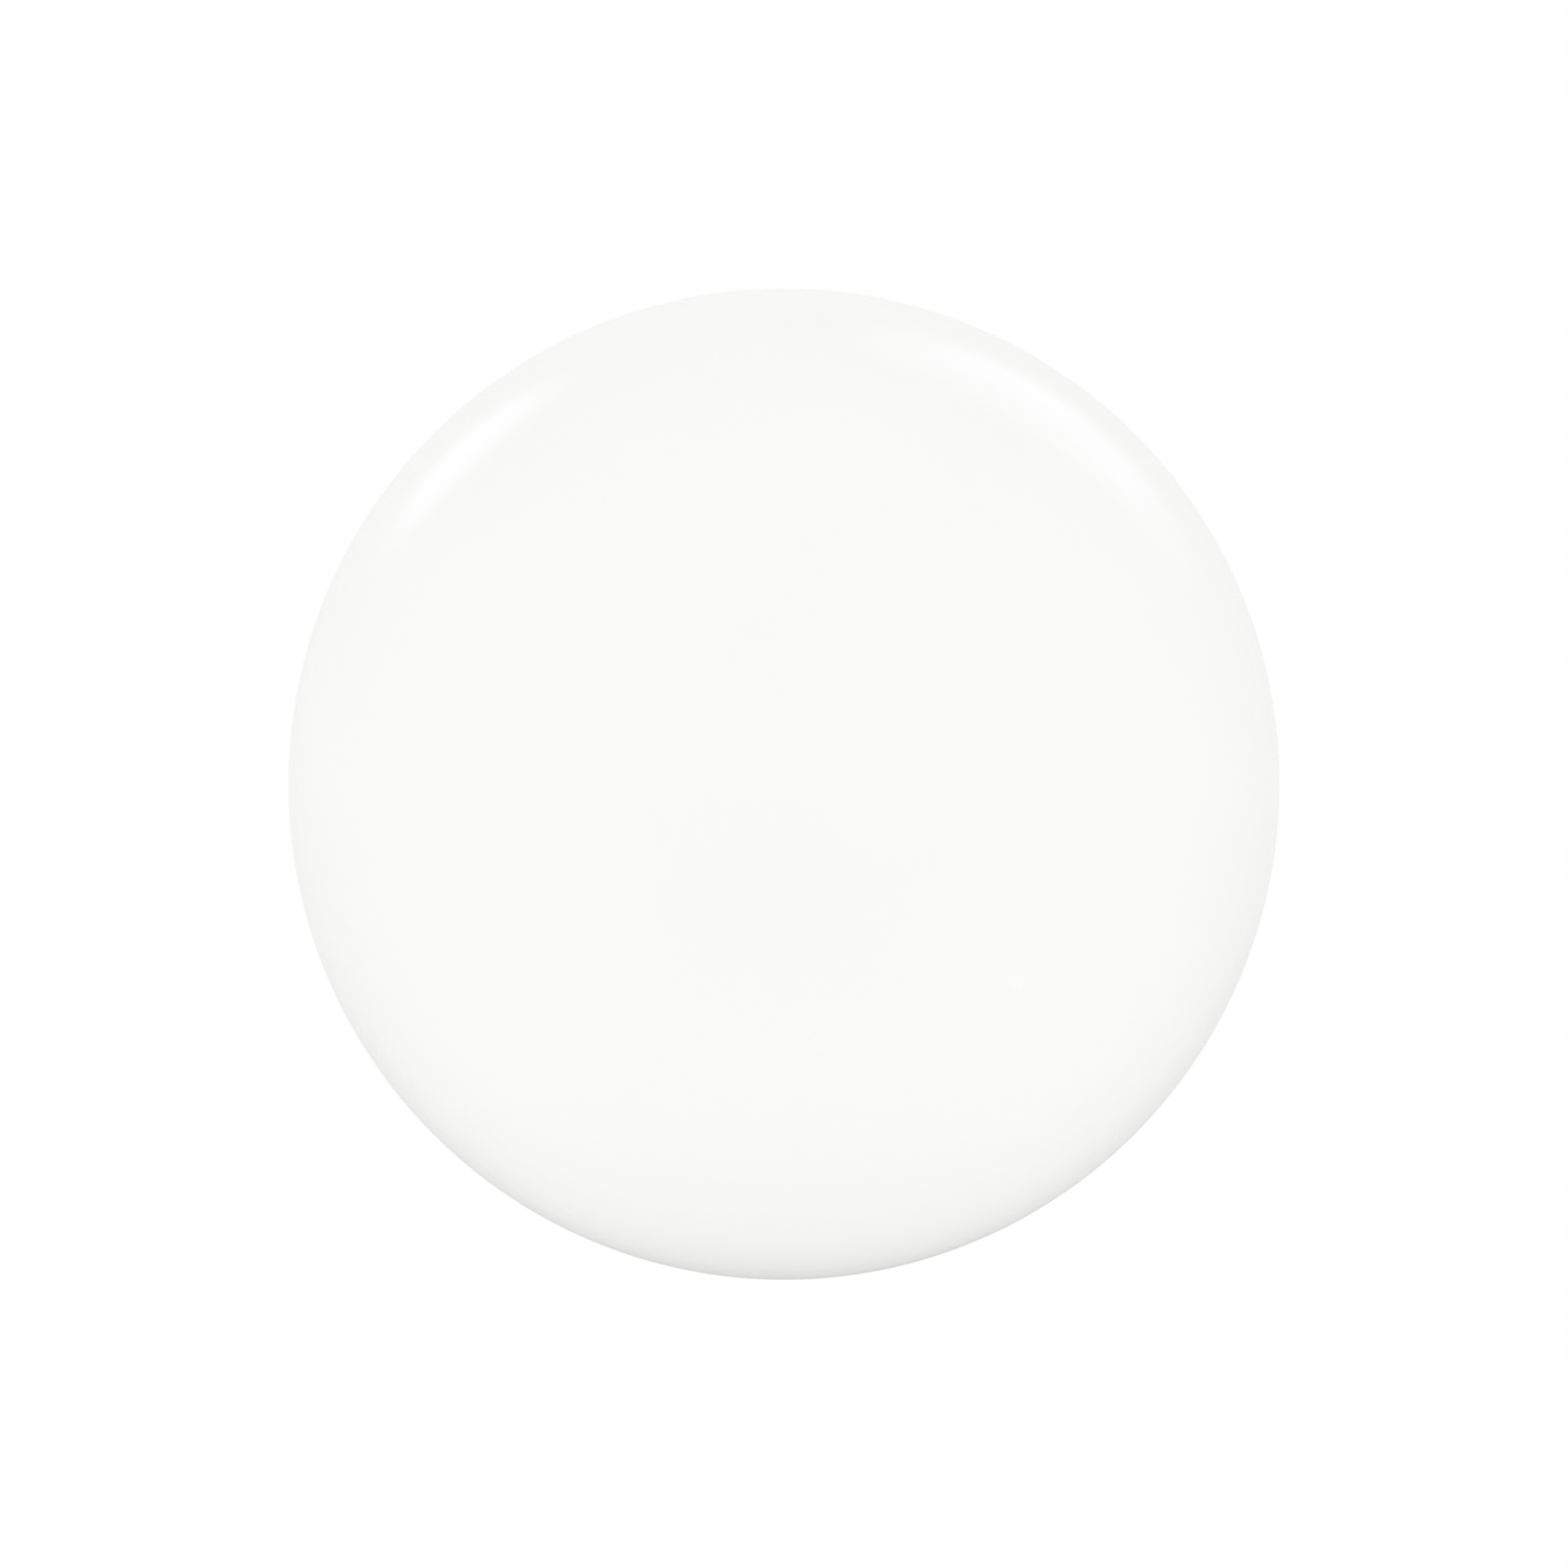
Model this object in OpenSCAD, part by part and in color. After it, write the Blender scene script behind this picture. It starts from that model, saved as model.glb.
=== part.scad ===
// Cue ball of the kind that a coin-operated pool table sorts with a magnet:
// a white resin shell, ground and polished, cast round an iron-filled resin core.
// The origin is the ball's centre and +Z is up, so the ball rests on its lowest point.

/* [Ball] */
// Diameter of the finished ball, over the polish
ball_d = 57.15; // [47:0.05:62]
// White resin over the core, measured along a radius
shell_wall = 9.5; // [6:0.25:14]

/* [Core casting] */
// Diameter of the flat that is left where the casting stub was ground off the core
gate_flat_d = 7; // [4:0.5:12]
// Height of the parting line that the two mould halves leave round the core's equator
parting_rise = 0.2; // [0.1:0.05:0.4]
// Width of that parting line, after its flash was trimmed
parting_w = 0.8; // [0.4:0.1:2]

/* [Hidden] */

$fn = 144;

ball_r = ball_d / 2;
core_r = ball_r - shell_wall;
// A flat of this diameter is a chord of the core, at this height over the centre.
gate_flat_z = sqrt(core_r * core_r - pow(gate_flat_d / 2, 2));

// The core as it comes from its mould. The shell is cast on it, so the same form is its cavity.
module core_form() {
    intersection() {
        union() {
            sphere(r = core_r);
            parting_line();
        }
        below_gate();
    }
}

module parting_line() {
    cylinder(r = core_r + parting_rise, h = parting_w, center = true);
}

// Everything under the gate's flat, wide enough to hold the whole core.
module below_gate() {
    translate([0, 0, -ball_r])
        cylinder(r = ball_r, h = ball_r + gate_flat_z);
}

module resin_shell() {
    color([0.98, 0.98, 0.97])
        difference() {
            sphere(r = ball_r);
            core_form();
        }
}

module iron_core() {
    color([0.22, 0.22, 0.23])
        core_form();
}

resin_shell();
iron_core();
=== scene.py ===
"""Looks of a white cue ball: its polished resin shell, the iron-filled core inside it, and a studio.

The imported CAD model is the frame. Both pieces are rebuilt round it as finer meshes with their finishes.
The ball's centre is the origin, +Z is up, the camera looks along +Y, and lengths are in metres.
"""
import math

import bpy
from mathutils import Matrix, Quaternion, Vector


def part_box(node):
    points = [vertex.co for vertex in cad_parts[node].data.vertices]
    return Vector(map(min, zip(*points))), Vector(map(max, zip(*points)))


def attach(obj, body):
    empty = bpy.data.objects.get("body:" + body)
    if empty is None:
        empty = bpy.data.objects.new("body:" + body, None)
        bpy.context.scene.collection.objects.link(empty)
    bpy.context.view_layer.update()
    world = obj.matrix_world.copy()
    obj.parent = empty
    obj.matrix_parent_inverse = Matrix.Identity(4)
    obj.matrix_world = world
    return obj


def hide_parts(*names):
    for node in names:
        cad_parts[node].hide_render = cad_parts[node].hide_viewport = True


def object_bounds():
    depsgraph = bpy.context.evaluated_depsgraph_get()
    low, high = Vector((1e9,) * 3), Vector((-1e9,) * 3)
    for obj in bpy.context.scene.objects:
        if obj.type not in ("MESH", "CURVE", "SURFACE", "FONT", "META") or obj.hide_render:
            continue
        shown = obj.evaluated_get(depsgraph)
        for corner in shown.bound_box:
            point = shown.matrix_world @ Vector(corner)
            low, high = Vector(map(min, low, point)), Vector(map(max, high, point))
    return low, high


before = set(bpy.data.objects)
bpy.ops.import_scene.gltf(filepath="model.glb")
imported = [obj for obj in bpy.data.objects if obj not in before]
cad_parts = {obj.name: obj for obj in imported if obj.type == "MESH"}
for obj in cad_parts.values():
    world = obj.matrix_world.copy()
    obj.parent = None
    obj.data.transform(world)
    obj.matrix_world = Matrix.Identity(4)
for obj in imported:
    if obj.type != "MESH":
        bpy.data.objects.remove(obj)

bl_info = {
    "name": "Cue Ball Looks",
    "version": (1, 0, 0),
    "blender": (4, 5, 0),
    "location": "3D View > Sidebar > Cue Ball",
    "description": "Polished resin shell, iron-filled core and studio of a white cue ball",
    "category": "Object",
}

# ---------------------------------------------------------------------------
# Sizes, from the frame
# ---------------------------------------------------------------------------
MM = 0.001
BODY = "root"
CAD_LOW, CAD_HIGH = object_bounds()
CORE_LOW, CORE_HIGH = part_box("iron_core")

BALL_RADIUS = -CAD_LOW.z
BALL_DIAMETER = 2 * BALL_RADIUS
FLOOR_Z = CAD_LOW.z
CORE_RADIUS = -CORE_LOW.z
GATE_Z = CORE_HIGH.z
PARTING_RADIUS = CORE_HIGH.x
# Half way through the wall: past this radius a point is on the polish, and short of it in the cavity.
WALL_MIDDLE = (BALL_RADIUS + CORE_RADIUS) / 2

# Pale flecks in the polish, each (degrees round from the front, degrees up, diameter in mm, strength).
# The first seven are on the front and the rest are round the back.
FLECKS = [
    (29, -22.6, 1.0, 0.45),
    (4.5, -29.8, 0.9, 0.45),
    (50, -26.5, 0.9, 0.35),
    (46.5, -30.6, 0.9, 0.30),
    (29, -42.7, 0.8, 0.35),
    (47, -38.5, 0.8, 0.25),
    (-11.3, -28.8, 0.8, 0.30),
    (148, 12, 0.8, 0.40),
    (171, -36, 0.7, 0.30),
    (-128, 34, 0.9, 0.35),
    (-152, -8, 0.6, 0.45),
    (96, 51, 0.7, 0.25),
]
# Sets of scratches in the polish, each (degrees round from the front and degrees up of the set's axis, mm
# from one scratch to the next)
HAIRLINES = [
    (20, 35, 1.7),
    (75, -20, 2.3),
    (140, 60, 1.3),
    (-60, 10, 2.9),
]


def direction(azimuth, elevation):
    """The unit vector that many degrees round from the front, towards +X, and above the horizon."""
    around = math.radians(azimuth)
    up = math.radians(elevation)
    return Vector((math.sin(around) * math.cos(up), -math.cos(around) * math.cos(up), math.sin(up)))


# ---------------------------------------------------------------------------
# Node trees, written as Python expressions
# ---------------------------------------------------------------------------
class Wire:
    """A socket's value. Python's operators on a wire add the Math nodes that work them out."""

    def __init__(self, graph, socket):
        self.graph = graph
        self.socket = socket

    def maths(self, operation, first, second=0.0):
        return self.graph.node("ShaderNodeMath", {"operation": operation}, {0: first, 1: second})

    def __add__(self, other):
        return self.maths("ADD", self, other)

    def __sub__(self, other):
        return self.maths("SUBTRACT", self, other)

    def __rsub__(self, other):
        return self.maths("SUBTRACT", other, self)

    def __mul__(self, other):
        return self.maths("MULTIPLY", self, other)

    def __truediv__(self, other):
        return self.maths("DIVIDE", self, other)

    def __rtruediv__(self, other):
        return self.maths("DIVIDE", other, self)

    def __gt__(self, other):
        return self.maths("GREATER_THAN", self, other)

    def __or__(self, other):
        return self.maths("MAXIMUM", self, other)

    def __abs__(self):
        return self.maths("ABSOLUTE", self)

    def __mod__(self, other):
        return self.maths("FLOORED_MODULO", self, other)

    __radd__ = __add__
    __rmul__ = __mul__


class Graph:
    """A node tree under construction: node() adds any node, and the other methods are common ones."""

    def __init__(self, tree):
        self.tree = tree
        tree.nodes.clear()

    def node(self, kind, settings=None, inputs=None, out=0):
        """Adds a node, makes its settings, then sets or links its inputs. Returns one output."""
        made = self.tree.nodes.new(kind)
        for name, value in (settings or {}).items():
            setattr(made, name, value)
        for key, value in (inputs or {}).items():
            if isinstance(value, Wire):
                self.tree.links.new(value.socket, made.inputs[key])
            else:
                made.inputs[key].default_value = value
        return Wire(self, made.outputs[out]) if len(made.outputs) else None

    def length(self, vector):
        return self.node("ShaderNodeVectorMath", {"operation": "LENGTH"}, {0: vector}, "Value")

    def distance(self, vector, point):
        return self.node("ShaderNodeVectorMath", {"operation": "DISTANCE"}, {0: vector, 1: point}, "Value")

    def dot(self, vector, along):
        inputs = {0: vector, 1: along}
        return self.node("ShaderNodeVectorMath", {"operation": "DOT_PRODUCT"}, inputs, "Value")

    def scaled(self, vector, factor):
        return self.node("ShaderNodeVectorMath", {"operation": "SCALE"}, {0: vector, "Scale": factor})

    def moved(self, vector, offset):
        return self.node("ShaderNodeVectorMath", {"operation": "ADD"}, {0: vector, 1: offset})

    def part(self, vector, axis):
        """One of a vector's or a colour's three numbers, as X, Y or Z."""
        return self.node("ShaderNodeSeparateXYZ", None, {0: vector}, axis)

    def noise(self, place, size, detail=2.0, out="Fac"):
        """Soft random values from 0 to 1 in blotches of about that size."""
        inputs = {"Vector": place, "Scale": 1 / size, "Detail": detail}
        return self.node("ShaderNodeTexNoise", None, inputs, out)

    def ramp(self, value, low, high, at_low=0.0, at_high=1.0):
        """A smooth step from at_low to at_high, as value goes from low up to high."""
        inputs = {"Value": value, 1: low, 2: high, 3: at_low, 4: at_high}
        return self.node("ShaderNodeMapRange", {"interpolation_type": "SMOOTHSTEP"}, inputs)

    def mix(self, share, first, second):
        """A colour between two."""
        inputs = {0: share, 6: first, 7: second}
        return self.node("ShaderNodeMix", {"data_type": "RGBA"}, inputs, 2)

    def bump(self, height):
        """The normal of a surface that stands up by height, in metres."""
        return self.node("ShaderNodeBump", None, {"Height": height, "Strength": 1.0, "Distance": 1.0})


def rgba(colour):
    return (*colour, 1.0)


def material_graph(name):
    """A new material and the graph of its emptied tree."""
    material = bpy.data.materials.new(name)
    material.use_nodes = True
    return material, Graph(material.node_tree)


def surface(graph, varying, constant):
    """Ends a material in a Principled shader: varying holds wires, constant holds plain values."""
    shader = graph.node("ShaderNodeBsdfPrincipled", None, {**varying, **constant})
    graph.node("ShaderNodeOutputMaterial", None, {"Surface": shader})


# ---------------------------------------------------------------------------
# Finishes
# ---------------------------------------------------------------------------
def flecks(graph, place):
    """1 in the pale flecks of the polish, with ragged soft edges, and 0 elsewhere."""
    reach = 0.35 * MM
    ragged = graph.scaled(graph.noise(place, 0.5 * MM, 3.0, "Color"), reach)
    rough_place = graph.moved(place, ragged)
    # The noise moves a place by half of its reach on average, so the flecks' centres move with it.
    mean_move = Vector((1, 1, 1)) * reach / 2
    found = None
    for azimuth, elevation, diameter, strength in FLECKS:
        centre = direction(azimuth, elevation) * BALL_RADIUS + mean_move
        away = graph.distance(rough_place, centre)
        half = diameter * MM / 2
        fleck = graph.ramp(away, half * 0.6, half * 1.2, strength, 0.0)
        found = fleck if found is None else found | fleck
    return found


def hairlines(graph, place):
    """Faint arcs left by the cloth and the cushions: thin slices of the ball, broken into short runs."""
    bend = graph.noise(place, 9 * MM)
    found = None
    for azimuth, elevation, spacing in HAIRLINES:
        across = graph.dot(place, direction(azimuth, elevation)) * (1 / (spacing * MM)) + bend * 0.8
        from_line = abs(across % 1.0 - 0.5) * spacing
        line = graph.ramp(from_line, 0.02, 0.07, 1.0, 0.0)
        # Each set reads the noise at another place, so that the sets break up differently.
        shifted = graph.moved(place, direction(elevation, azimuth))
        run = graph.ramp(graph.noise(shifted, 4 * MM), 0.58, 0.68)
        found = line * run if found is None else found | line * run
    return found


def white_resin(look):
    """White cast resin: polished outside, plain and matte in the cavity that took the core's skin."""
    material, graph = material_graph("white_resin")
    place = graph.node("ShaderNodeTexCoord", out="Object")
    polished = graph.length(place) > WALL_MIDDLE
    fleck = flecks(graph, place) * polished
    hairline = hairlines(graph, place) * polished
    clouds = graph.noise(place, 14 * MM, 3.0)
    haze = graph.noise(place, 5 * MM, 4.0)
    resin = graph.mix(graph.ramp(clouds, 0.35, 0.65), rgba(look.resin_colour), rgba(look.cloud_colour))
    colour = graph.mix(fleck, resin, rgba(look.fleck_colour))
    on_polish = look.polish_roughness * (0.8 + 0.4 * haze) + 0.10 * hairline + 0.12 * fleck
    roughness = on_polish * polished + 0.55 * (1 - polished)
    peel = graph.noise(place, 2.5 * MM) * (0.0006 * MM)
    scored = (hairline + 1.5 * fleck) * (-0.002 * MM)
    normal = graph.bump(peel + scored)
    varying = {"Base Color": colour, "Roughness": roughness, "Normal": normal}
    surface(graph, varying, {"IOR": look.resin_ior})
    return material


def iron_filled_resin(look):
    """Dark resin full of iron powder: bright grains in a dull skin, and a flat ground across the gate."""
    material, graph = material_graph("iron_filled_resin")
    place = graph.node("ShaderNodeTexCoord", out="Object")
    ground = graph.part(place, "Z") > GATE_Z - 0.05 * MM
    under_skin = CORE_RADIUS - graph.length(place)
    in_pit = graph.ramp(under_skin, 0.03 * MM, 0.20 * MM) * (1 - ground)
    cell_inputs = {"Vector": place, "Scale": 1 / look.grain_size, "Randomness": 1.0}
    cell = graph.node("ShaderNodeTexVoronoi", {"feature": "F1"}, cell_inputs, "Color")
    pick = graph.part(cell, "X")
    tone = graph.part(cell, "Y")
    grains = graph.ramp(pick, 0.72, 0.78) | ground * graph.ramp(pick, 0.30, 0.40)
    bare = grains * (1 - 0.9 * in_pit)
    patches = graph.noise(place, 6 * MM, 4.0)
    skin = graph.mix(patches * (1 - in_pit), rgba(look.skin_colour), rgba(look.worn_colour))
    iron = graph.mix(tone, rgba(look.iron_colour), rgba(look.rust_colour))
    colour = graph.mix(bare, skin, iron)
    roughness = 0.78 - 0.38 * bare + 0.12 * (patches - 0.5)
    squeezed = graph.node("ShaderNodeMapping", None, {"Vector": place, "Scale": (1, 14, 1)})
    scratch = graph.noise(squeezed, 1.2 * MM, 4.0) * ground
    grit = graph.noise(place, look.grain_size * 1.5, 3.0) * (1 - ground)
    normal = graph.bump(grit * (0.06 * MM) + scratch * (0.03 * MM) + bare * (0.01 * MM))
    varying = {"Base Color": colour, "Roughness": roughness, "Metallic": bare, "Normal": normal}
    surface(graph, varying, {"IOR": 1.55})
    return material


# ---------------------------------------------------------------------------
# Geometry Nodes
# ---------------------------------------------------------------------------
def geometry_graph(name, inputs):
    """A new Geometry Nodes tree with these named inputs after Geometry, and its graph and input wires."""
    tree = bpy.data.node_groups.new(name, "GeometryNodeTree")
    graph = Graph(tree)
    tree.interface.new_socket("Geometry", in_out="INPUT", socket_type="NodeSocketGeometry")
    for label, kind in inputs.items():
        tree.interface.new_socket(label, in_out="INPUT", socket_type="NodeSocket" + kind)
    tree.interface.new_socket("Geometry", in_out="OUTPUT", socket_type="NodeSocketGeometry")
    group = tree.nodes.new("NodeGroupInput")
    wires = {socket.name: Wire(graph, socket) for socket in group.outputs if socket.name}
    return tree, graph, wires


def end_geometry(graph, geometry, material):
    """Ends a tree in real faces that carry the material."""
    real = graph.node("GeometryNodeRealizeInstances", None, {"Geometry": geometry})
    dressed = graph.node("GeometryNodeSetMaterial", None, {"Geometry": real, "Material": material})
    graph.node("NodeGroupOutput", None, {"Geometry": dressed})


def polished_surface_tree():
    """Adds the ball's polished outside to what it is given: a gridded cube, pushed out to a sphere."""
    inputs = {"Diameter": "Float", "Faces Along A Side": "Int", "Material": "Material"}
    tree, graph, given = geometry_graph("polished_surface", inputs)
    lines = graph.node("ShaderNodeMath", {"operation": "ADD"}, {0: given["Faces Along A Side"], 1: 1.0})
    grid_inputs = {"Size": (2, 2, 2), "Vertices X": lines, "Vertices Y": lines, "Vertices Z": lines}
    grid = graph.node("GeometryNodeMeshCube", None, grid_inputs, "Mesh")
    place = graph.node("GeometryNodeInputPosition")
    # The tangent spaces the grid's lines at equal angles, so that the faces come out about the same size.
    turned = graph.scaled(place, math.pi / 4)
    spaced = graph.node("ShaderNodeVectorMath", {"operation": "TANGENT"}, {0: turned})
    outward = graph.node("ShaderNodeVectorMath", {"operation": "NORMALIZE"}, {0: spaced})
    on_ball = graph.scaled(outward, given["Diameter"] / 2)
    ball = graph.node("GeometryNodeSetPosition", None, {"Geometry": grid, "Position": on_ball})
    smooth = graph.node("GeometryNodeSetShadeSmooth", None, {"Geometry": ball})
    joined = graph.node("GeometryNodeJoinGeometry", None, {"Geometry": smooth})
    graph.tree.links.new(given["Geometry"].socket, joined.socket.node.inputs[0])
    end_geometry(graph, joined, given["Material"])
    return tree


def casting_pits_tree():
    """Sinks small round pits, left by air in the mould, into the skin of a casting."""
    inputs = {"Pit Spacing": "Float", "Pit Width": "Float", "Pit Depth": "Float", "Share": "Float",
              "Seed": "Float", "Material": "Material"}
    tree, graph, given = geometry_graph("casting_pits", inputs)
    place = graph.node("GeometryNodeInputPosition")
    shift = graph.node("ShaderNodeCombineXYZ", None, {0: given["Seed"], 1: given["Seed"], 2: given["Seed"]})
    seeded = graph.moved(place, shift)
    cell_inputs = {"Vector": seeded, "Scale": 1 / given["Pit Spacing"]}
    away = graph.node("ShaderNodeTexVoronoi", {"feature": "F1"}, cell_inputs, "Distance")
    cell = graph.node("ShaderNodeTexVoronoi", {"feature": "F1"}, cell_inputs, "Color")
    pick = graph.part(cell, "X")
    size = graph.part(cell, "Y")
    half = given["Pit Width"] * (0.25 + 0.25 * size)
    pit = graph.ramp(away * given["Pit Spacing"] / half, 0.55, 1.0, 1.0, 0.0)
    taken = given["Share"] > pick
    normal = graph.node("GeometryNodeInputNormal")
    sunk = graph.scaled(normal, pit * taken * given["Pit Depth"] * -1.0)
    pitted = graph.node("GeometryNodeSetPosition", None, {"Geometry": given["Geometry"], "Offset": sunk})
    end_geometry(graph, pitted, given["Material"])
    return tree


def grown(name, mesh, tree, values):
    """A mesh object after that tree's work on it, as a plain mesh with no modifier."""
    piece = bpy.data.objects.new(name, mesh)
    bpy.context.scene.collection.objects.link(piece)
    modifier = piece.modifiers.new(tree.name, "NODES")
    modifier.node_group = tree
    for item in tree.interface.items_tree:
        if item.item_type == "SOCKET" and item.in_out == "INPUT" and item.name in values:
            modifier[item.identifier] = values[item.name]
    depsgraph = bpy.context.evaluated_depsgraph_get()
    plain = bpy.data.meshes.new_from_object(piece.evaluated_get(depsgraph), depsgraph=depsgraph)
    # A mesh that came in without a material leaves an empty first slot.
    if plain.materials[0] is None:
        plain.materials.pop(index=0)
    piece.modifiers.clear()
    piece.data = plain
    plain.name = name
    return piece


# ---------------------------------------------------------------------------
# Meshes
# ---------------------------------------------------------------------------
def core_profile(parting_width, rows):
    """The core's outline as (radius, height) points, from the gate's centre down to the lowest point."""
    half = parting_width / 2
    gate_angle = math.asin(GATE_Z / CORE_RADIUS)
    land_angle = math.asin(half / CORE_RADIUS)
    upper = [gate_angle + (land_angle - gate_angle) * i / rows for i in range(rows + 1)]
    lower = [-land_angle + (land_angle - math.pi / 2) * i / rows for i in range(rows)]
    on_core = [(CORE_RADIUS * math.cos(a), CORE_RADIUS * math.sin(a)) for a in upper]
    under_core = [(CORE_RADIUS * math.cos(a), CORE_RADIUS * math.sin(a)) for a in lower]
    gate_radius = on_core[0][0]
    gate_rings = max(2, round(gate_radius / (CORE_RADIUS / rows)))
    gate = [(gate_radius * i / gate_rings, GATE_Z) for i in range(1, gate_rings)]
    land = [(PARTING_RADIUS, half), (PARTING_RADIUS, -half)]
    return [(0.0, GATE_Z)] + gate + on_core + land + under_core + [(0.0, -CORE_RADIUS)]


def turned_mesh(name, profile, segments, inward=False):
    """The closed surface that a profile from pole to pole sweeps round Z, facing out or inward."""
    rings = profile[1:-1]
    turns = [2 * math.pi * i / segments for i in range(segments)]
    points = [(r * math.cos(a), r * math.sin(a), z) for r, z in rings for a in turns]
    top = len(points)
    bottom = top + 1
    points += [(0, 0, profile[0][1]), (0, 0, profile[-1][1])]
    last = (len(rings) - 1) * segments
    faces = []
    for i in range(segments):
        j = (i + 1) % segments
        faces.append((top, i, j))
        faces.append((bottom, last + j, last + i))
        for ring in range(len(rings) - 1):
            over = ring * segments
            under = over + segments
            faces.append((over + i, under + i, under + j, over + j))
    if inward:
        faces = [tuple(reversed(face)) for face in faces]
    mesh = bpy.data.meshes.new(name)
    mesh.from_pydata(points, [], faces)
    mesh.shade_smooth()
    mesh.set_sharp_from_angle(angle=math.radians(8))
    return mesh


# ---------------------------------------------------------------------------
# Sizes and colours that a user would change
# ---------------------------------------------------------------------------
def colour_property(name, description, default):
    return bpy.props.FloatVectorProperty(
        name=name, description=description, default=default, subtype="COLOR", size=3, min=0, max=1)


def length_property(name, description, default):
    return bpy.props.FloatProperty(
        name=name, description=description, default=default, unit="LENGTH", min=0, precision=5)


def level_property(name, description, default):
    return bpy.props.FloatProperty(name=name, description=description, default=default, min=0)


class ResinShellLook(bpy.types.PropertyGroup):
    """Finish of the white resin shell."""

    resin_colour: colour_property("Resin", "Colour of the white resin", (0.927, 0.925, 0.908))
    cloud_colour: colour_property("Clouds", "Colour of the resin's soft clouds", (0.931, 0.929, 0.912))
    fleck_colour: colour_property("Flecks", "Colour of the pale flecks in the polish", (0.962, 0.960, 0.943))
    polish_roughness: level_property("Polish roughness", "Roughness of the polished outside", 0.13)
    resin_ior: level_property("Refractive index", "How strongly the polished resin mirrors", 1.5)
    side_faces: bpy.props.IntProperty(
        name="Faces along a side", description="Fineness of the ball's mesh", default=80, min=8, max=96)


class IronCoreLook(bpy.types.PropertyGroup):
    """Finish and casting marks of the iron-filled core."""

    skin_colour: colour_property("Skin", "Colour of the resin over the powder", (0.035, 0.035, 0.038))
    worn_colour: colour_property("Worn skin", "Colour of the skin where it is rubbed", (0.075, 0.072, 0.07))
    iron_colour: colour_property("Iron", "Colour of a bare grain of iron", (0.42, 0.41, 0.40))
    rust_colour: colour_property("Tarnish", "Colour of a tarnished grain", (0.20, 0.15, 0.12))
    grain_size: length_property("Grain size", "Size of a grain of the powder", 0.24 * MM)
    parting_width: length_property("Parting width", "Width of the trimmed parting line", 0.8 * MM)
    pit_spacing: length_property("Pit spacing", "Distance from one pit's place to the next", 3.0 * MM)
    pit_width: length_property("Pit width", "Width of the largest pits", 1.8 * MM)
    pit_depth: length_property("Pit depth", "Depth of the pits", 0.35 * MM)
    pit_share: level_property("Pit share", "Share of the pits' places that hold one", 0.4)


class StudioLook(bpy.types.PropertyGroup):
    """Camera, floor and light."""

    lens: level_property("Lens", "Focal length of the camera, in millimetres", 200.0)
    ball_share: level_property("Ball's share", "Share of the picture's width that the ball takes", 0.6324)
    floor_colour: colour_property("Floor", "Colour that the floor lends its light", (0.50, 0.50, 0.50))
    shade: level_property("Shade", "Share of the floor's own light and shadow that is seen", 0.85)
    open_level: level_property("Open floor", "Brightness of the paper where no shadow falls", 0.92)
    # Painted shadow: the paper as the gloss mirrors it is painted dimmer near the ball.
    painted_near_shade: level_property("Near shade", "How dim the gloss shows the floor by the ball", 0.37)
    # Painted shade: what the gloss mirrors low behind the ball is painted dimmer.
    painted_low_shade: level_property("Low shade", "How dim the gloss shows what is low behind the ball", 0.135)
    air_level: level_property("Air", "Brightness of the light from all round", 0.485)
    table_level: level_property("Table", "Brightness of the light that comes up from the floor", 0.565)
    front_level: level_property("Front", "Brightness of the lamp over the camera", 0.620)
    top_level: level_property("Top", "Brightness of the lamp overhead", 0.742)
    side_level: level_property("Sides", "Brightness of the lamps at the sides", 0.743)
    back_level: level_property("Back", "Brightness of the lamp behind the ball", 0.22)
    back_glow_level: level_property("Back glow", "Brightness of the narrow lamp low behind the ball", 1.6)
    left_box_level: level_property("Left soft box", "Brightness of the soft box behind on the left", 0.51)
    right_box_level: level_property("Right soft box", "Brightness of the one on the right", 0.455)
    near_box_level: level_property("Near soft boxes", "Brightness of the pair in front of the ball", 0.22)
    box_colour: colour_property("Soft boxes", "Colour of the soft boxes' light", (0.77, 0.77, 1.0))


# ---------------------------------------------------------------------------
# Stage
# ---------------------------------------------------------------------------
def light_path(graph):
    """Two wires that are 1 for rays from the camera, and 1 for rays from gloss or through glass."""
    camera = graph.node("ShaderNodeLightPath", out="Is Camera Ray")
    outputs = camera.socket.node.outputs
    mirrored = Wire(graph, outputs["Is Glossy Ray"]) | Wire(graph, outputs["Is Transmission Ray"])
    return camera, mirrored


def mirrored_white_with_painted_shade(graph, place, look):
    """How bright the ball's gloss shows what is at that place: white, with painted shade that makes it
    dimmer low behind the ball.
    """
    outward = graph.node("ShaderNodeVectorMath", {"operation": "NORMALIZE"}, {0: place})
    low_behind = graph.dot(outward, direction(168, -42))
    return 1 - look.painted_low_shade * graph.ramp(low_behind, 0.23, 1.0)


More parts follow.
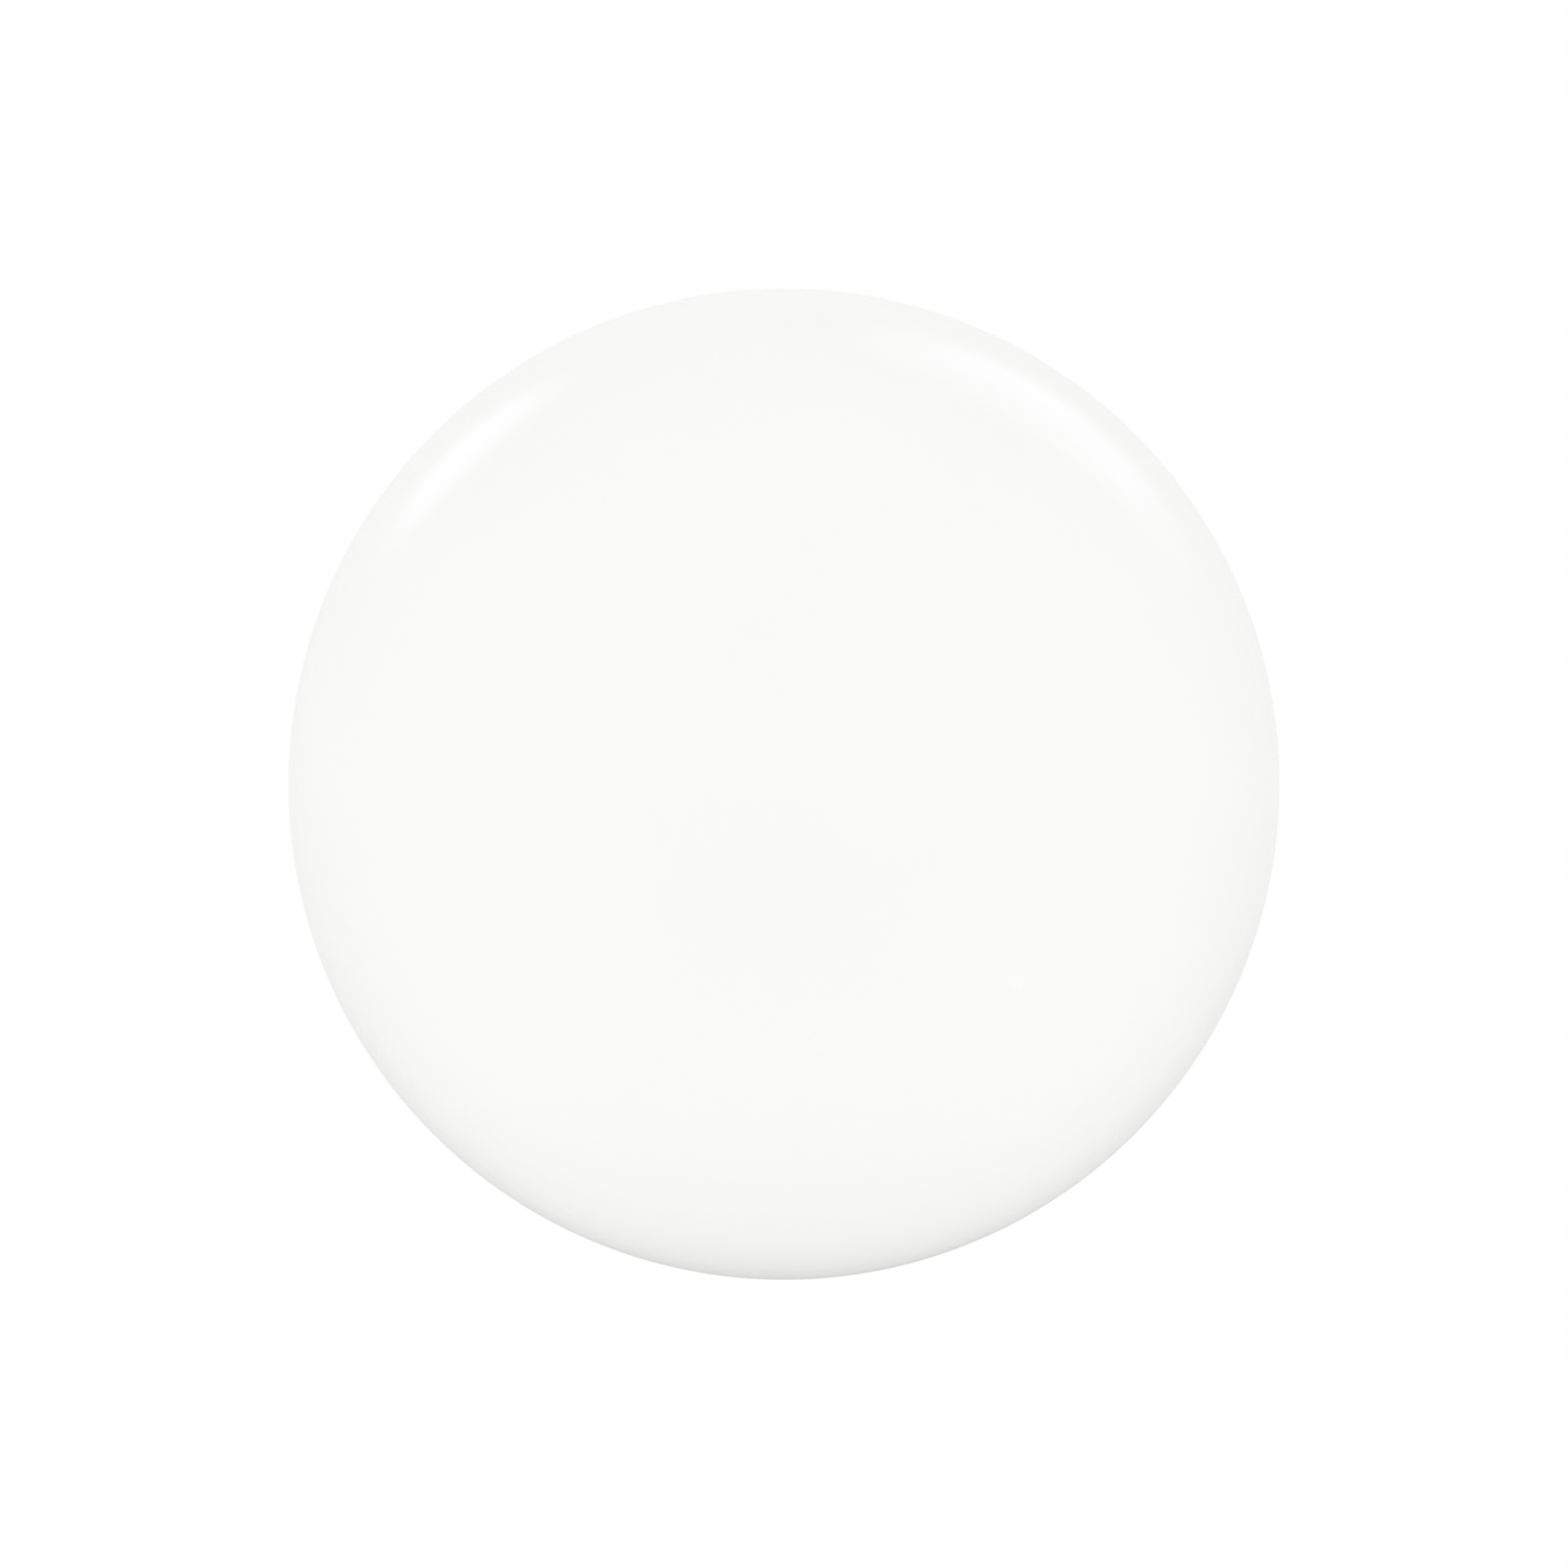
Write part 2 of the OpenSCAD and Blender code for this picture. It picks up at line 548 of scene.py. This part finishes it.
def paper(look):
    """White paper with the ball's shadow and, where the gloss mirrors it, a painted shadow by the ball. Seen
    edge-on a painted sheen makes it plain white, and from below it is clear.
    """
    material, graph = material_graph("studio_paper")
    camera, mirrored = light_path(graph)
    facing = graph.node("ShaderNodeLayerWeight", None, {"Blend": 0.5}, "Facing")
    # Painted sheen: seen edge-on, the paper turns to plain white and its shadow goes.
    painted_sheen = graph.ramp(facing, 0.80, 0.91)
    shaded = look.shade * (1 - painted_sheen)
    # The paper's own light, plus the glow that brings it up to white where no shadow falls.
    glow = (1 - shaded * look.open_level) / (1 - shaded)
    place = graph.node("ShaderNodeTexCoord", out="Object")
    # Painted shadow: the gloss shows the paper dimmer near the ball, the closer the dimmer.
    nearness = BALL_DIAMETER / (graph.distance(place, (0, 0, FLOOR_Z)) + BALL_DIAMETER)
    mirrored_level = mirrored_white_with_painted_shade(graph, place, look) - look.painted_near_shade * nearness
    strength = camera * glow + mirrored * mirrored_level
    white = graph.node("ShaderNodeEmission", None, {"Color": (1, 1, 1, 1), "Strength": strength})
    colour = graph.mix(camera, rgba(look.floor_colour), (1, 1, 1, 1))
    matte = graph.node("ShaderNodeBsdfDiffuse", None, {"Color": colour})
    white_share = camera * (1 - shaded) + mirrored
    upper = graph.node("ShaderNodeMixShader", None, {0: white_share, 1: matte, 2: white})
    clear = graph.node("ShaderNodeBsdfTransparent")
    from_below = camera * graph.node("ShaderNodeNewGeometry", out="Backfacing")
    both = graph.node("ShaderNodeMixShader", None, {0: from_below, 1: upper, 2: clear})
    graph.node("ShaderNodeOutputMaterial", None, {"Surface": both})
    return material


def lay_floor(look):
    """A paper sheet under the ball."""
    half = 1.6
    mesh = bpy.data.meshes.new("paper_floor")
    corners = [(x, y, FLOOR_Z) for x, y in ((-half, -half), (half, -half), (half, half), (-half, half))]
    mesh.from_pydata(corners, [], [(0, 1, 2, 3)])
    mesh.materials.append(paper(look))
    floor = bpy.data.objects.new("paper_floor", mesh)
    bpy.context.scene.collection.objects.link(floor)


def fill_air(look):
    """White behind everything, a plain level of light from all round, and painted shade low behind the ball
    where the gloss mirrors it.
    """
    world = bpy.data.worlds.new("studio_air")
    world.use_nodes = True
    graph = Graph(world.node_tree)
    camera, mirrored = light_path(graph)
    way = graph.node("ShaderNodeTexCoord", out="Generated")
    # Painted shade: the air as the gloss mirrors it is dimmer low behind the ball.
    in_gloss = mirrored * mirrored_white_with_painted_shade(graph, way, look)
    strength = camera + in_gloss + look.air_level * (1 - (camera | mirrored))
    background = graph.node("ShaderNodeBackground", None, {"Color": (1, 1, 1, 1), "Strength": strength})
    graph.node("ShaderNodeOutputWorld", None, {"Surface": background})
    bpy.context.scene.world = world


def hang_lamp(name, azimuth, elevation, distance, width, height, level):
    """A rectangular lamp that faces the ball and isn't mirrored in it. Level 1 would show as white."""
    data = bpy.data.lights.new(name, "AREA")
    data.shape = "RECTANGLE"
    data.size = width
    data.size_y = height
    data.energy = level * math.pi * width * height
    lamp = bpy.data.objects.new(name, data)
    outward = direction(azimuth, elevation)
    lamp.location = outward * distance
    lamp.rotation_mode = "QUATERNION"
    lamp.rotation_quaternion = (-outward).to_track_quat("-Z", "Y")
    lamp.visible_camera = False
    lamp.visible_glossy = False
    bpy.context.scene.collection.objects.link(lamp)
    return lamp


def hang_soft_box(name, azimuth, elevation, width, height, roll, level, colour):
    """An oval lamp that the ball mirrors, brightest in its middle and dark at its edge."""
    box = hang_lamp(name, azimuth, elevation, 1.0, width, height, 1.0)
    box.data.shape = "ELLIPSE"
    box.data.energy *= math.pi / 4
    box.rotation_quaternion = box.rotation_quaternion @ Quaternion((0, 0, 1), math.radians(roll))
    box.visible_glossy = True
    box.data.use_nodes = True
    graph = Graph(box.data.node_tree)
    place = graph.node("ShaderNodeNewGeometry", out="Parametric")
    away = graph.distance(place, (0.5, 0.5, 0.0))
    strength = graph.ramp(away, 0.2, 0.5, level, 0.0)
    cloth = graph.node("ShaderNodeEmission", None, {"Color": rgba(colour), "Strength": strength})
    graph.node("ShaderNodeOutputLight", None, {"Surface": cloth})


def place_camera(look):
    """A level camera in front of the ball, far enough for the ball to take its share of the picture."""
    data = bpy.data.cameras.new("camera")
    data.lens = look.lens
    half_angle = math.atan(look.ball_share * data.sensor_width / 2 / data.lens)
    camera = bpy.data.objects.new("camera", data)
    camera.location = direction(0, 0) * (BALL_RADIUS / math.sin(half_angle))
    camera.rotation_euler = (math.radians(90), 0, 0)
    bpy.context.scene.collection.objects.link(camera)
    bpy.context.scene.camera = camera


# ---------------------------------------------------------------------------
# Operators
# ---------------------------------------------------------------------------
class CUEBALL_OT_stage(bpy.types.Operator):
    """Set up the paper floor, the light and the camera"""

    bl_idname = "cue_ball.stage"
    bl_label = "Stage"

    def execute(self, context):
        look = context.scene.cue_ball_studio
        place_camera(look)
        lay_floor(look)
        fill_air(look)
        # The ball's foot below this lamp shows as a dark spot from underneath, so the lamp hangs low.
        just_over_floor = -FLOOR_Z - 0.0005 * MM
        hang_lamp("table_glow", 0, -90, just_over_floor, 1.6, 1.6, look.table_level)
        hang_lamp("front_lamp", 0, 25, 1.2, 1.6, 1.2, look.front_level)
        hang_lamp("top_lamp", 0, 90, 1.2, 1.2, 1.2, look.top_level)
        hang_lamp("left_lamp", -80, 25, 1.2, 1.2, 1.2, look.side_level)
        hang_lamp("right_lamp", 80, 25, 1.2, 1.2, 1.2, look.side_level)
        hang_lamp("back_lamp", 180, 25, 1.2, 1.6, 1.2, look.back_level)
        # Low and narrow behind the ball, so that it lights the back and doesn't reach round to the front.
        hang_lamp("back_glow", 180, 13, 1.2, 0.5, 0.5, look.back_glow_level)
        cool = look.box_colour
        hang_soft_box("left_soft_box", -141.5, 32.8, 0.52, 0.41, -54, look.left_box_level, cool)
        hang_soft_box("right_soft_box", 145, 40, 0.88, 0.58, 55, look.right_box_level, cool)
        # The same pair in front, in plain white, so that the ball's gloss shows from behind as well.
        white = (1.0, 1.0, 1.0)
        hang_soft_box("near_right_box", 38.5, 32.8, 0.52, 0.41, -54, look.near_box_level, white)
        hang_soft_box("near_left_box", -35, 40, 0.88, 0.58, 55, look.near_box_level, white)
        context.scene.view_settings.view_transform = "Standard"
        return {"FINISHED"}


class CUEBALL_OT_resin_shell(bpy.types.Operator):
    """Make the white resin shell: its polished outside and the cavity that the core fills"""

    bl_idname = "cue_ball.resin_shell"
    bl_label = "Resin shell"

    def execute(self, context):
        look = context.scene.cue_ball_shell
        core = context.scene.cue_ball_core
        cavity = turned_mesh("cavity", core_profile(core.parting_width, 48), 144, inward=True)
        values = {"Diameter": BALL_DIAMETER, "Faces Along A Side": look.side_faces,
                  "Material": white_resin(look)}
        ball = grown("polished_shell", cavity, polished_surface_tree(), values)
        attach(ball, BODY)
        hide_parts("resin_shell")
        return {"FINISHED"}


class CUEBALL_OT_iron_core(bpy.types.Operator):
    """Make the iron-filled core, with its parting line, ground gate and casting pits"""

    bl_idname = "cue_ball.iron_core"
    bl_label = "Iron core"

    def execute(self, context):
        look = context.scene.cue_ball_core
        casting = turned_mesh("casting", core_profile(look.parting_width, 80), 360)
        values = {"Pit Spacing": look.pit_spacing, "Pit Width": look.pit_width, "Pit Depth": look.pit_depth,
                  "Share": look.pit_share, "Seed": 0.7, "Material": iron_filled_resin(look)}
        core = grown("cast_core", casting, casting_pits_tree(), values)
        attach(core, BODY)
        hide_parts("iron_core")
        return {"FINISHED"}


class CUEBALL_PT_looks(bpy.types.Panel):
    """Lists the steps and what a user would change in them"""

    bl_idname = "CUEBALL_PT_looks"
    bl_label = "Cue Ball"
    bl_space_type = "VIEW_3D"
    bl_region_type = "UI"
    bl_category = "Cue Ball"

    def draw(self, context):
        for operator, group in STEPS:
            box = self.layout.box()
            box.operator(operator.bl_idname)
            look = getattr(context.scene, group)
            for name in look.__annotations__:
                box.prop(look, name)


GROUPS = {
    "cue_ball_studio": StudioLook,
    "cue_ball_shell": ResinShellLook,
    "cue_ball_core": IronCoreLook,
}
STEPS = [
    (CUEBALL_OT_stage, "cue_ball_studio"),
    (CUEBALL_OT_resin_shell, "cue_ball_shell"),
    (CUEBALL_OT_iron_core, "cue_ball_core"),
]
CLASSES = [*GROUPS.values(), *(operator for operator, _ in STEPS), CUEBALL_PT_looks]


def register():
    for cls in CLASSES:
        bpy.utils.register_class(cls)
    for name, group in GROUPS.items():
        setattr(bpy.types.Scene, name, bpy.props.PointerProperty(type=group))


def unregister():
    for name in GROUPS:
        delattr(bpy.types.Scene, name)
    for cls in reversed(CLASSES):
        bpy.utils.unregister_class(cls)


def main():
    register()
    bpy.ops.cue_ball.stage()
    bpy.ops.cue_ball.resin_shell()
    bpy.ops.cue_ball.iron_core()


if __name__ == "__main__":
    main()
